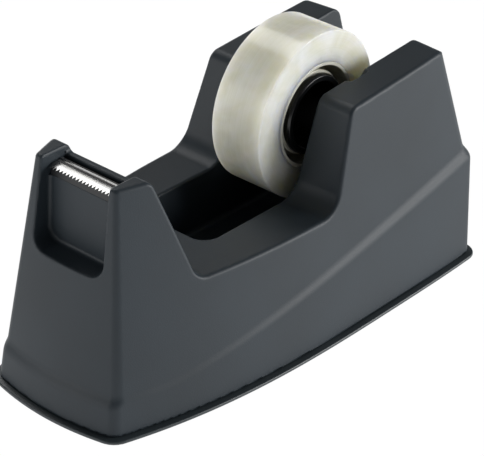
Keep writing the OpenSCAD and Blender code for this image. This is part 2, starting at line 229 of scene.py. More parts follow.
def make_object(name: str, points: Array, faces: Sequence[Sequence[int]],
                normals: Array | None = None, sharp: float = 30) -> bpy.types.Object:
    """Makes an object from points in millimetres.

    Args:
        name: Name of the object and its mesh.
        points: Points in the frame, in millimetres.
        faces: Point numbers of each face, anticlockwise from outside.
        normals: Normal of each point; without them, edges are sharp by angle.
        sharp: Least turn of a sharp edge, in degrees.

    Returns:
        The new object, linked to the scene.
    """
    mesh = bpy.data.meshes.new(name)
    mesh.from_pydata((np.asarray(points) * MM).tolist(), [], [list(map(int, f)) for f in faces])
    mesh.validate()
    mesh.polygons.foreach_set("use_smooth", [True] * len(mesh.polygons))
    if normals is None:
        mesh.set_sharp_from_angle(angle=math.radians(sharp))
    else:
        mesh.normals_split_custom_set_from_vertices(np.asarray(normals).tolist())
    mesh.update()
    piece = bpy.data.objects.new(name, mesh)
    bpy.context.scene.collection.objects.link(piece)
    return piece


def rounded_loop(corners: Sequence[tuple[float, float, float]],
                 steps: int = 5) -> tuple[Array, Array]:
    """Rounds the corners of a closed outline.

    Args:
        corners: Two coordinates and a radius for each corner.
        steps: Steps of each arc.

    Returns:
        Points of the outline, anticlockwise, and their outward normals.
    """
    spots = np.array([c[:2] for c in corners])
    following = np.roll(spots, -1, axis=0)
    area = (spots[:, 0] * following[:, 1] - spots[:, 1] * following[:, 0]).sum()
    if area < 0:
        return rounded_loop(corners[::-1], steps)
    points, normals = [], []
    neighbours = zip(corners[-1:] + corners[:-1], corners, corners[1:] + corners[:1])
    for before, corner, after in neighbours:
        spot, radius = np.array(corner[:2]), corner[2]
        to_before, to_after = (np.array(p[:2]) - spot for p in (before, after))
        to_before, to_after = (v / np.linalg.norm(v) for v in (to_before, to_after))
        half = math.acos(np.clip(to_before @ to_after, -1, 1)) / 2
        middle = to_before + to_after
        centre = spot + middle / np.linalg.norm(middle) * radius / math.sin(half)
        convex = to_before[1] * to_after[0] - to_before[0] * to_after[1] > 0
        first, last = (spot + v * radius / math.tan(half) - centre for v in (to_before, to_after))
        start = math.atan2(first[1], first[0])
        turn = math.atan2(first[0] * last[1] - first[1] * last[0], first @ last)
        for k in range(steps + 1):
            angle = start + turn * k / steps
            direction = np.array([math.cos(angle), math.sin(angle)])
            points.append(centre + radius * direction)
            normals.append(direction if convex else -direction)
    return np.array(points), np.array(normals)


def lathe(name: str, corners: Sequence[tuple[float, float, float]], centre: Array,
          segments: int = 192) -> bpy.types.Object:
    """Turns a closed outline round the reel's axis.

    Args:
        name: Name of the piece.
        corners: Distance along the axis, radius, and rounding of each corner.
        centre: Point of the axis, in millimetres.
        segments: Steps round the axis.

    Returns:
        The turned piece.
    """
    outline, slopes = rounded_loop(list(corners))
    angles = np.arange(segments) * 2 * math.pi / segments
    around = np.stack([np.cos(angles), np.zeros(segments), np.sin(angles)], axis=1)
    along = np.array([0.0, 1.0, 0.0])
    points, normals = ((loop[:, 0, None, None] * along
                        + loop[:, 1, None, None] * around).reshape(-1, 3)
                       for loop in (outline, slopes))
    count = len(outline)
    i, j = np.meshgrid(np.arange(count), np.arange(segments), indexing="ij")
    i2, j2 = (i + 1) % count, (j + 1) % segments
    quads = np.stack([i * segments + j, i * segments + j2, i2 * segments + j2, i2 * segments + j],
                     axis=-1)
    return make_object(name, points + centre, quads.reshape(-1, 4), normals)


def cut(piece: bpy.types.Object, cutters: Sequence[bpy.types.Object], sharp: float = 30) -> None:
    """Cuts closed shapes out of a piece and removes the cutters.

    Args:
        piece: Piece to cut.
        cutters: Closed meshes to take away.
        sharp: Least turn of a sharp edge after the cut, in degrees.
    """
    for cutter in cutters:
        modifier = piece.modifiers.new("cut", "BOOLEAN")
        modifier.operation, modifier.object = "DIFFERENCE", cutter
    # Every cut adds faces, so a result with fewer means that the solver lost the piece.
    for solver in ("EXACT", "FAST"):
        for modifier in piece.modifiers:
            modifier.solver = solver
        bpy.context.view_layer.update()
        graph = bpy.context.evaluated_depsgraph_get()
        result = bpy.data.meshes.new_from_object(piece.evaluated_get(graph))
        if len(result.polygons) > len(piece.data.polygons):
            break
    piece.modifiers.clear()
    piece.data = result
    result.polygons.foreach_set("use_smooth", [True] * len(result.polygons))
    result.set_sharp_from_angle(angle=math.radians(sharp))
    for cutter in cutters:
        bpy.data.objects.remove(cutter)


def block(name: str, corners: Array) -> bpy.types.Object:
    """A six-sided cutter from its eight corners, the lower four first."""
    faces = [(3, 2, 1, 0), (4, 5, 6, 7), (0, 1, 5, 4), (1, 2, 6, 5), (2, 3, 7, 6), (3, 0, 4, 7)]
    return make_object(name, corners, faces)


# ---------------------------------------------------------------- materials

def add_node(tree: bpy.types.NodeTree, kind: str, settings: dict | None = None,
             links: dict | None = None) -> bpy.types.Node:
    """Adds a shader node.

    Args:
        tree: Tree that takes the node.
        kind: Blender's name for the node type.
        settings: Input values and node options by name or input number.
        links: Sockets to link to inputs, by input name or number.

    Returns:
        The new node.
    """
    node = tree.nodes.new(kind)
    for key, value in (settings or {}).items():
        if isinstance(key, int) or key in node.inputs:
            node.inputs[key].default_value = value
        else:
            setattr(node, key, value)
    for key, socket in (links or {}).items():
        tree.links.new(socket, node.inputs[key])
    return node


@dataclass(frozen=True)
class Finish:
    """A surface finish: what it is made of and how light meets it."""

    name: str
    colour: str
    second: str
    roughness: float
    grain_mm: float
    relief_mm: float
    metallic: float = 0.0
    specular: float = 0.5

    def material(self) -> bpy.types.Material:
        """Builds the finish's material."""
        material = bpy.data.materials.new(self.name)
        material.use_nodes = True
        tree = material.node_tree
        tree.nodes.clear()
        shader = add_node(tree, "ShaderNodeBsdfPrincipled", {
            "Base Color": linear(self.colour), "Roughness": self.roughness,
            "Metallic": self.metallic, "Specular IOR Level": self.specular})
        add_node(tree, "ShaderNodeOutputMaterial", links={"Surface": shader.outputs["BSDF"]})
        self.dress(tree, shader)
        return material

    def dress(self, tree: bpy.types.NodeTree, shader: bpy.types.Node) -> None:
        """Gives the surface its colour drift, its grain and its uneven gloss.

        Args:
            tree: The material's node tree.
            shader: Its Principled shader.
        """
        place = add_node(tree, "ShaderNodeTexCoord").outputs["Object"]
        drift = add_node(tree, "ShaderNodeTexNoise", {"Scale": 1 / (DRIFT_MM * MM), "Detail": 3.0},
                         {"Vector": place})
        self.mix_colours(tree, shader, drift.outputs["Fac"])
        grain = add_node(tree, "ShaderNodeTexNoise",
                         {"Scale": 1 / (self.grain_mm * MM), "Detail": 2.0, "Roughness": 0.6},
                         {"Vector": place})
        self.vary_gloss(tree, shader, grain.outputs["Fac"])
        self.raise_grain(tree, shader, grain.outputs["Fac"])

    def mix_colours(self, tree: bpy.types.NodeTree, shader: bpy.types.Node,
                    share: bpy.types.NodeSocket) -> None:
        """Blends the two colours of the finish by a share from 0 to 1."""
        steep = add_node(tree, "ShaderNodeMapRange", {"From Min": 0.3, "From Max": 0.7},
                         {"Value": share})
        mix = add_node(tree, "ShaderNodeMixRGB",
                       {"Color1": linear(self.colour), "Color2": linear(self.second)},
                       {"Fac": steep.outputs["Result"]})
        tree.links.new(mix.outputs["Color"], shader.inputs["Base Color"])

    def vary_gloss(self, tree: bpy.types.NodeTree, shader: bpy.types.Node,
                   share: bpy.types.NodeSocket) -> None:
        """Lets the roughness wander a little either side of its value."""
        gloss = add_node(tree, "ShaderNodeMapRange",
                         {"To Min": 0.9 * self.roughness, "To Max": 1.1 * self.roughness},
                         {"Value": share})
        tree.links.new(gloss.outputs["Result"], shader.inputs["Roughness"])

    def raise_grain(self, tree: bpy.types.NodeTree, shader: bpy.types.Node,
                    height: bpy.types.NodeSocket) -> None:
        """Turns a height from 0 to 1 into the finish's relief."""
        bump = add_node(tree, "ShaderNodeBump", {"Strength": 1.0, "Distance": self.relief_mm * MM},
                        {"Height": height})
        tree.links.new(bump.outputs["Normal"], shader.inputs["Normal"])


@dataclass(frozen=True)
class GroundSteel(Finish):
    """Strip steel with fine grinding lines across its width."""

    lines: tuple[float, float, float] = (2500.0, 60.0, 2500.0)

    def dress(self, tree: bpy.types.NodeTree, shader: bpy.types.Node) -> None:
        """Stretches the grain into grinding lines; the arguments are those of Finish.dress."""
        place = add_node(tree, "ShaderNodeTexCoord").outputs["Object"]
        drawn = add_node(tree, "ShaderNodeMapping", {"Scale": self.lines}, {"Vector": place})
        grain = add_node(tree, "ShaderNodeTexNoise", {"Scale": 1.0, "Detail": 3.0},
                         {"Vector": drawn.outputs["Vector"]})
        self.mix_colours(tree, shader, grain.outputs["Fac"])
        self.vary_gloss(tree, shader, grain.outputs["Fac"])
        self.raise_grain(tree, shader, grain.outputs["Fac"])


@dataclass(frozen=True)
class WoundFilm(Finish):
    """Clear film wound in hundreds of turns: milky depth, glossy skin, rings on the sides."""

    centre: tuple[float, float, float] = (0.0, 0.0, 0.0)
    depth_mm: float = 12.0

    def dress(self, tree: bpy.types.NodeTree, shader: bpy.types.Node) -> None:
        """Draws the turns as rings and lets light into the roll; arguments as in Finish.dress."""
        place = add_node(tree, "ShaderNodeTexCoord").outputs["Object"]
        arm = add_node(tree, "ShaderNodeVectorMath",
                       {"operation": "SUBTRACT", 1: tuple(c * MM for c in self.centre)}, {0: place})
        flat = add_node(tree, "ShaderNodeVectorMath", {"operation": "MULTIPLY", 1: (1.0, 0.0, 1.0)},
                        {0: arm.outputs["Vector"]})
        radius = add_node(tree, "ShaderNodeVectorMath", {"operation": "LENGTH"},
                          {0: flat.outputs["Vector"]})
        across = add_node(tree, "ShaderNodeSeparateXYZ", links={"Vector": arm.outputs["Vector"]})
        turns = add_node(tree, "ShaderNodeCombineXYZ",
                         links={"X": radius.outputs["Value"], "Y": across.outputs["Y"]})
        rings = add_node(tree, "ShaderNodeTexNoise",
                         {"Scale": 1 / (self.grain_mm * MM), "Detail": 3.0},
                         {"Vector": turns.outputs["Vector"]})
        cloud = add_node(tree, "ShaderNodeTexNoise",
                         {"Scale": 110.0, "Detail": 4.0, "Distortion": 0.6}, {"Vector": place})
        both = add_node(tree, "ShaderNodeMath", {"operation": "MULTIPLY_ADD", 1: 0.35},
                        {0: rings.outputs["Fac"], 2: cloud.outputs["Fac"]})
        lowered = add_node(tree, "ShaderNodeMath", {"operation": "SUBTRACT", 1: 0.17},
                           {0: both.outputs["Value"]})
        self.mix_colours(tree, shader, lowered.outputs["Value"])
        self.raise_grain(tree, shader, rings.outputs["Fac"])
        shader.inputs["Subsurface Weight"].default_value = 1.0
        shader.inputs["Subsurface Radius"].default_value = (1.0, 0.9, 0.65)
        shader.inputs["Subsurface Scale"].default_value = self.depth_mm * MM
        shader.inputs["Coat Weight"].default_value = 0.4
        shader.inputs["Coat Roughness"].default_value = 0.15


@dataclass(frozen=True)
class ClearPolystyrene(Finish):
    """Moulded clear plastic that goes milky where it is thick."""

    def dress(self, tree: bpy.types.NodeTree, shader: bpy.types.Node) -> None:
        """Adds the cloudy depth to the moulded grain; arguments as in Finish.dress."""
        super().dress(tree, shader)
        shader.inputs["Subsurface Weight"].default_value = 0.7
        shader.inputs["Subsurface Radius"].default_value = (1.0, 0.95, 0.8)
        shader.inputs["Subsurface Scale"].default_value = 2 * MM
        shader.inputs["Coat Weight"].default_value = 0.5
        shader.inputs["Coat Roughness"].default_value = 0.1


# ---------------------------------------------------------------- pieces

def fit(piece: bpy.types.Object, body: Body, finish: bpy.types.Material,
        nodes: Sequence[str]) -> None:
    """Dresses a new piece and puts it in the place of CAD nodes.

    Args:
        piece: The piece, already in its place.
        body: Body that it rides on.
        finish: Its material.
        nodes: CAD nodes that it stands for.
    """
    piece.data.materials.clear()
    piece.data.materials.append(finish)
    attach(piece, body.value)
    if nodes:
        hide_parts(*nodes)
    LOG.info("%s: %d faces, rides on %s", piece.name, len(piece.data.polygons), body.value)


def dress_node(node: str, finish: bpy.types.Material) -> None:
    """Gives a CAD node that stays in view a better material."""
    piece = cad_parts[node]
    for slot in piece.material_slots:
        slot.material = finish
    LOG.info("%s: dressed in %s", node, finish.name)


@dataclass(frozen=True)
class Housing:
    """The charcoal moulded body, as rounded walls, towers, a well and a blade recess."""

    length: float
    width: float
    foot: float
    axle_station: float
    axle_height: float
    recess_station: float
    recess_half: float
    front_width: float = 46.0
    widest: float = 118.0
    front_bow: float = 3.4
    top_bow: float = 0.4
    back_bow: float = 1.4
    corner: float = 4.5
    back_round: float = 4.5
    ear_height: float = 77.0
    ear_back: float = 23.4
    deck_height: float = 42.6
    deck_start: float = 35.8
    tower_height: float = 74.0
    tower_rise: float = 3.6
    tower_foot_reach: float = 16.0
    tower_edge_reach: float = 7.2
    front_lean: float = 7.8
    front_step: float = 1.2
    back_lean: float = 17.4
    back_ledge: float = 2.0
    side_lean: float = 6.6
    nose_lean: float = 8.8
    skirt_lean: float = 4.4
    sweep_front: float = 13.4
    sweep_back: float = 40.4
    sweep_start: float = 24.0
    sweep_ease: float = 5.6
    band_slope: float = 2.2
    band_reach: float = 2.5
    seam: float = 0.25
    gap_half: float = 14.6
    gap_lean: float = 1.8
    groove_radius: float = 3.3
    groove_end: float = 17.5
    groove_lean: float = 39.0
    well_floor: float = 23.0
    well_front: float = 52.2
    well_back: float = 151.0
    well_corner: float = 6.0
    back_wall: float = 48.0
    low_wall: float = 74.0
    pocket_back: float = 21.9
    shelf: float = 47.6
    shelf_rise: float = 1.2
    recess_flare: float = 0.7
    recess_corner: float = 5.0
    pocket_floor: float = 70.0
    ear_round: float = 3.0
    valley_round: float = 5.0
    tower_edge_round: float = 4.0
    tower_foot_round: float = 8.0
    edge: float = 1.2
    band_edge: float = 0.4
    well_edge: float = 0.7
    groove_edge: float = 0.35
    recess_edge: float = 0.6
    foot_edge: float = 0.35
    upper_overlap: float = 4.0
    pitch: float = 0.7

    @classmethod
    def from_frame(cls) -> "Housing":
        """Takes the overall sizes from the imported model."""
        shell_low, shell_high = box_mm("housing_shell")
        roll_low, roll_high = box_mm("tape_roll")
        carrier_low, _ = box_mm("blade_carrier")
        _, blade_high = box_mm("cutting_blade")
        axle = (roll_low + roll_high) / 2
        length = 2 * shell_high[0]
        return cls(length=length, width=shell_high[1] - shell_low[1], foot=shell_low[2],
                   axle_station=axle[0] + length / 2, axle_height=axle[2],
                   recess_station=carrier_low[0] + length / 2,
                   recess_half=blade_high[1] + BLADE_FIT)

    def walls(self, x: Array, y: Array, z: Array, lean: float, nose_lean: float, front: Array,
              back: Array, back_lean: float) -> tuple[Array, Array, Array]:
        """Measures the distances to one set of leaning walls.

        Args:
            x: Stations.
            y: Distances across.
            z: Heights.
            lean: Lean of the sides where the body is widest, in degrees.
            nose_lean: Lean of the sides at the front.
            front: Station of the front face at each height.
            back: Station of the back face at each height.
            back_lean: Lean of the back face.

        Returns:
            Distances to the front, the sides and the back.
        """
        tilt = math.tan(math.radians(lean))
        nose_tilt = math.tan(math.radians(nose_lean))
        spread = (self.width - self.front_width) / 2 + z * (nose_tilt - tilt)

        def half(station: Array) -> Array:
            """Half of the body's width at a station."""
            return self.width / 2 - z * tilt - spread * np.abs(1 - station / self.widest) ** 3

        steepness = 3 * spread * (1 - x / self.widest) ** 2 / self.widest
        side = (np.abs(y) - half(x)) / np.sqrt(1 + steepness ** 2 + tilt ** 2)
        height = np.clip(z / self.ear_height, 0, 1)
        front_bow = self.front_bow + (self.top_bow - self.front_bow) * height
        ends = []
        for face, bow, lean_back, sign in ((front, front_bow, self.front_lean, 1),
                                           (back, self.back_bow, back_lean, -1)):
            reach = half(face + sign * bow)
            curve = 2 * bow * y / reach ** 2
            steep = math.tan(math.radians(lean_back))
            ahead = sign * (face + sign * bow * (y / reach) ** 2 - x)
            ends.append(ahead / np.sqrt(1 + curve ** 2 + steep ** 2))
        return ends[0], side, ends[1]

    def sweep(self, x: Array) -> Array:
        """Height of the sweep line, level at the front and then rising to the back."""
        rise = (self.sweep_back - self.sweep_front) / (self.length - self.sweep_start)
        past, ease = x - self.sweep_start, self.sweep_ease
        eased = (np.clip(past, -ease, ease) + ease) ** 2 / (4 * ease)
        return self.sweep_front + rise * (eased + np.maximum(past - ease, 0))

    def profile(self, x: Array, z: Array) -> Array:
        """Side view of the body: ears, deck and back towers, with their rounded edges."""
        tower_foot = self.axle_station - self.tower_foot_reach
        tower_edge = self.axle_station - self.tower_edge_reach
        apex = self.tower_height + self.tower_rise
        apex_station = self.back_at(apex)
        ear_back = slope(x, z, (self.ear_back, self.ear_height),
                         (self.deck_start, self.deck_height))
        ears = round_max(z - self.ear_height, ear_back, turn_radius(self.ear_round, 70))
        deck = round_min(ears, z - self.deck_height + 0 * x, turn_radius(self.valley_round, 70))
        face = slope(x, z, (tower_foot, self.deck_height), (tower_edge, self.tower_height))
        roof = slope(x, z, (tower_edge, self.tower_height), (apex_station, apex))
        tower = round_max(face, roof, turn_radius(self.tower_edge_round, 70))
        return round_min(deck, tower, turn_radius(self.tower_foot_round, 74))

    def back_at(self, z: Array | float) -> Array | float:
        """Station of the body's back face above the sweep line."""
        lean = math.tan(math.radians(self.back_lean))
        return self.length - self.back_ledge - (z - self.sweep_back) * lean

    def outside(self, x: Array, y: Array, z: Array) -> Array:
        """The body before anything is cut out of it."""
        # The angles given to turn_radius are how far the faces turn at each rounded edge.
        skirt_front = z * math.tan(math.radians(self.front_lean))
        corner = self.corner - z * math.tan(math.radians(self.side_lean)) / 5
        nose_turn, tail_turn = turn_radius(corner, 56), turn_radius(corner, 78)
        top_turn = turn_radius(self.back_round, 77)
        nose, side, tail = self.walls(x, y, z, self.side_lean, self.nose_lean,
                                      skirt_front + self.front_step, self.back_at(z),
                                      self.back_lean)
        front_and_sides = round_max(nose, side, nose_turn)
        upper_plan = round_max(front_and_sides, tail, tail_turn)
        upper = round_max(front_and_sides, self.profile(x, z), self.edge)
        upper = round_max(upper, tail, top_turn)
        skirt_nose_lean = self.nose_lean - self.side_lean + self.skirt_lean
        nose, side, tail = self.walls(x, y, z, self.skirt_lean, skirt_nose_lean, skirt_front,
                                      self.length + 0 * z, 0)
        skirt_plan = round_max(round_max(nose, side, nose_turn), tail, tail_turn)
        above = z - self.sweep(x)
        # The band slopes from the skirt up to the upper walls, and stops rising inside them.
        band = above + self.band_slope * np.maximum(upper_plan, -self.band_reach)
        band = band / math.hypot(1, self.band_slope)
        skirt = round_max(skirt_plan, band, self.band_edge)
        return round_min(np.maximum(upper, -self.upper_overlap - above), skirt, self.band_edge)

    def well(self, x: Array, y: Array, z: Array) -> Array:
        """The well for the roll and the gap between the towers."""
        flare = math.tan(math.radians(self.gap_lean))
        side = (np.abs(y) - self.gap_half - (z - self.deck_height) * flare) / math.hypot(1, flare)
        ends = np.maximum(self.well_front - x, x - self.well_back)
        basin = round_max(round_max(side, ends, self.well_corner), self.well_floor - z, 1.5)
        tower_foot = self.axle_station - self.tower_foot_reach
        gap = np.maximum(np.maximum(side, self.back_wall - z), tower_foot - x)
        return np.minimum(basin, gap)

    def grooves(self, x: Array, y: Array, z: Array) -> Array:
        """The two sloping grooves that the axle's ends drop into."""
        lean = math.radians(self.groove_lean)
        right, up = x - self.axle_station, z - self.axle_height
        along = right * math.sin(lean) + up * math.cos(lean)
        aside = right * math.cos(lean) - up * math.sin(lean)
        slot = np.hypot(np.minimum(along, 0), aside) - self.groove_radius
        return np.maximum(slot, np.abs(y) - self.groove_end)

    def nose_cuts(self, x: Array, y: Array, z: Array) -> Array:
        """The recess under the blade, the blade's pocket and the low wall behind it."""
        drop = np.clip((self.pocket_floor - z) / (self.pocket_floor - self.shelf), 0, 1)
        side = np.abs(y) - self.recess_half - self.recess_flare * drop
        shelf = self.shelf + self.shelf_rise * np.clip(x / self.recess_station, 0, 1)
        mouth = round_max(side, shelf - z, self.recess_corner)
        recess = round_max(mouth, x - self.recess_station, 1.0)
        straight = np.abs(y) - self.recess_half
        pocket = np.maximum(np.maximum(straight, self.pocket_floor - z), x - self.pocket_back)
        low = round_max(straight, self.low_wall - z, 1.2) + 0 * x
        low = np.maximum(low, x - self.deck_start)
        return np.minimum(np.minimum(recess, pocket), low)

    def field(self, x: Array, y: Array, z: Array) -> Array:
        """The whole body, closed at its foot, where the base plate hides it."""
        solid = round_max(self.outside(x, y, z), -self.well(x, y, z), self.well_edge)
        solid = round_max(solid, -self.grooves(x, y, z), self.groove_edge)
        solid = round_max(solid, -self.nose_cuts(x, y, z), self.recess_edge)
        return round_max(solid, self.foot + self.seam - z, self.foot_edge)

    def build(self, finish: bpy.types.Material) -> None:
        """Meshes the body and puts it in place of the CAD shell."""
        low = np.array([0.0, -self.width / 2, self.foot])
        high = np.array([self.length, self.width / 2, self.tower_height + self.tower_rise])
        points, quads, normals = SurfaceNet(self.pitch).build(self.field, low, high)
        points[:, 0] -= self.length / 2
        body = make_object("moulded_body", points, quads, normals)
        fit(body, Body.HOUSING, finish, ["housing_shell"])


@dataclass(frozen=True)
class BasePlate:
    """The black base plate with its rounded rim, made from loops round the body's foot."""

    housing: Housing
    rim: float
    bottom: float
    top: float
    screws: tuple[tuple[float, float], ...]
    count: int = 440
    bead: float = 0.38
    step_inset: float = 0.8
    lip: float = 1.4
    proud: float = 0.1
    head_radius: float = 2.8
    head_height: float = 1.4
    shank_radius: float = 1.4
    outline_rise: float = 1.2
    newton_steps: int = 30

    @classmethod
    def from_frame(cls, housing: Housing) -> "BasePlate":
        """Takes the rim and the screws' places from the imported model."""
        low, high = box_mm("base_plate")
        rim = high[0] - housing.length / 2
        screw_low, screw_high = box_mm("base_screws")
        front, back = screw_low[0] + cls.head_radius, screw_high[0] - cls.head_radius
        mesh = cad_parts["base_screws"].data
        spots = np.array([v.co for v in mesh.vertices]) / MM
        places = []
        for station in (front, back):
            near = spots[np.abs(spots[:, 0] - station) < 2 * cls.head_radius]
            across = near[:, 1].max() - cls.head_radius
            places += [(station, across), (station, -across)]
        sheet_top = box_mm("non_slip_sheet")[1][2]
        return cls(housing=housing, rim=rim, bottom=sheet_top, top=housing.foot,
                   screws=tuple(places))

    def outline(self) -> tuple[Array, Array]:
        """Finds the body's outline at its foot.

        Returns:
            Points and outward normals, evenly spaced.
        """
        housing = self.housing
        net = SurfaceNet(0.5)
        angles = np.linspace(0, 2 * math.pi, 8 * self.count, endpoint=False)
        box = np.abs(np.stack([np.cos(angles), np.sin(angles)])).max(0)
        points = np.stack([housing.length / 2 * (1 + np.cos(angles) / box),
                           housing.width / 2 * np.sin(angles) / box,
                           np.full(len(angles), housing.foot + self.outline_rise)], axis=1)

        def plan(x: Array, y: Array, z: Array) -> Array:
            """The skirt's plan at the foot."""
            return housing.outside(x, y, 0 * z + housing.foot + self.outline_rise)

        for _ in range(self.newton_steps):
            gradient = net.gradient(plan, points)
            gradient[:, 2] = 0
            steepness = np.maximum((gradient ** 2).sum(1), 0.2)
            points -= gradient * (plan(*points.T) / steepness)[:, None]
        # In order round the middle, so that the loop never folds back on itself.
        points = points[np.argsort(np.arctan2(points[:, 1], points[:, 0] - housing.length / 2))]
        steps = np.linalg.norm(np.roll(points, -1, axis=0) - points, axis=1)
        run = np.concatenate([[0], np.cumsum(steps)])
        closed = np.concatenate([points, points[:1]])
        even = np.linspace(0, run[-1], self.count, endpoint=False)
        spots = np.stack([np.interp(even, run, closed[:, k]) for k in range(3)], axis=1)
        normals = net.gradient(plan, spots)
        normals[:, 2] = 0
        return spots[:, :2], (normals / np.linalg.norm(normals, axis=1, keepdims=True))[:, :2]

    def build(self, finish: bpy.types.Material) -> None:
        """Lofts the plate, cuts its four countersinks and puts it in place."""
        spots, normals = self.outline()
        arc = np.linspace(-math.pi / 2, math.pi / 2, 9)
        middle = (self.proud + self.top) / 2
        half = (self.top - self.proud) / 2
        under = self.rim - self.lip
        profile = [(under, self.bottom), (under, self.proud)]
        profile += [(self.rim - self.bead + self.bead * math.cos(a), middle + half * math.sin(a))
                    for a in arc]
        profile += [(-self.step_inset, self.top),
                    (-self.step_inset, self.top + self.housing.seam + 0.05)]
        loops = [np.column_stack([spots + offset * normals, np.full(len(spots), z)])
                 for offset, z in profile]
        points = np.concatenate(loops)
        points[:, 0] -= self.housing.length / 2
        n = len(spots)
        k = np.arange(n)
        follow = (k + 1) % n
        faces = [(a * n + i, a * n + j, (a + 1) * n + j, (a + 1) * n + i)
                 for a in range(len(loops) - 1) for i, j in zip(k, follow)]
        faces += [tuple(k[::-1]), tuple((len(loops) - 1) * n + k)]
        plate = make_object("base_plate_rim", points, faces)
        cut(plate, [self.countersink(*place) for place in self.screws])
        fit(plate, Body.HOUSING, finish, ["base_plate"])

    def countersink(self, x: float, y: float, sides: int = 48) -> bpy.types.Object:
        """Makes the cutter of one screw hole.

        Args:
            x: Place of the screw along the plate.
            y: Place of the screw across the plate.
            sides: Sides of the round hole.

        Returns:
            A closed cone with a straight bottom.
        """
        angles = np.arange(sides) * 2 * math.pi / sides
        ring = np.stack([np.cos(angles), np.sin(angles), 0 * angles], axis=1)
        head, shank = self.head_radius + 0.15, self.shank_radius + 0.1
        levels = ((head, self.bottom - 1), (head, self.bottom),
                  (shank, self.bottom + self.head_height), (shank, 9.0))
        points = np.concatenate([ring * radius + (x, y, z) for radius, z in levels])
        k = np.arange(sides)
        follow = (k + 1) % sides
        faces = [(a * sides + i, a * sides + j, (a + 1) * sides + j, (a + 1) * sides + i)
                 for a in range(3) for i, j in zip(k, follow)]
        faces += [tuple(k[::-1]), tuple(3 * sides + k)]
        return make_object("countersink", points, faces)


@dataclass(frozen=True)
class Blade:
    """The folded steel strip with its ground teeth."""

    low: Array
    high: Array
    teeth: int = 20
    tooth: float = 1.2
    samples: int = 8
    thickness: float = 0.35

    def build(self, finish: bpy.types.Material) -> None:
        """Folds the strip along its length and puts it in place of the plain blade."""
        front, back = self.low[0], self.high[0]
        top = self.high[2]
        # The fold in side view, from the back edge to the roots of the teeth.
        strip = [(back, -0.05), (back - 0.3, 0.0), (back - 0.75, -0.02), (back - 0.95, -0.32),
                 (back - 2.2, -0.3), (back - 2.45, -0.18), (back - 2.7, -0.3),
                 (front + self.tooth + 0.55, -0.42), (front + self.tooth + 0.25, -0.5)]
        across = np.linspace(self.low[1], self.high[1], 2 * self.teeth * self.samples + 1)
        phase = (across - self.low[1]) / (self.high[1] - self.low[1]) * self.teeth
        reach = self.tooth * (1 - np.abs(2 * (phase % 1) - 1))
        columns = [np.column_stack([np.full(len(across), x), across, np.full(len(across), top + z)])
                   for x, z in strip]
        bottom = self.low[2]
        slope_down = (top - 0.5 - bottom) / (self.tooth + 0.25)
        for share in (0.0, 1.0):
            x = front + self.tooth - share * reach
            height = top - 0.5 - slope_down * (front + self.tooth + 0.25 - x)
            columns.append(np.column_stack([x, across, height]))
        upper = np.stack(columns)
        lower = upper.copy()
        lower[:, :, 2] = np.maximum(lower[:, :, 2] - self.thickness, bottom)
        lower[-1] = upper[-1] - (0, 0, 0.02)
        rows, n = upper.shape[:2]
        points = np.concatenate([upper.reshape(-1, 3), lower.reshape(-1, 3)])
        base = rows * n
        faces = []
        for r, c in product(range(rows - 1), range(n - 1)):
            a = r * n + c
            faces.append((a, a + 1, a + n + 1, a + n))
            faces.append((base + a, base + a + n, base + a + n + 1, base + a + 1))
        for c in range(n - 1):
            faces.append((c, base + c, base + c + 1, c + 1))
            end = (rows - 1) * n + c
            faces.append((end, end + 1, base + end + 1, base + end))
        for r in range(rows - 1):
            a, b = r * n, r * n + n - 1
            faces.append((a, a + n, base + a + n, base + a))
            faces.append((b, base + b, base + b + n, b + n))
        blade = make_object("serrated_blade", points, [f[::-1] for f in faces], sharp=20)
        fit(blade, Body.HOUSING, finish, ["cutting_blade"])


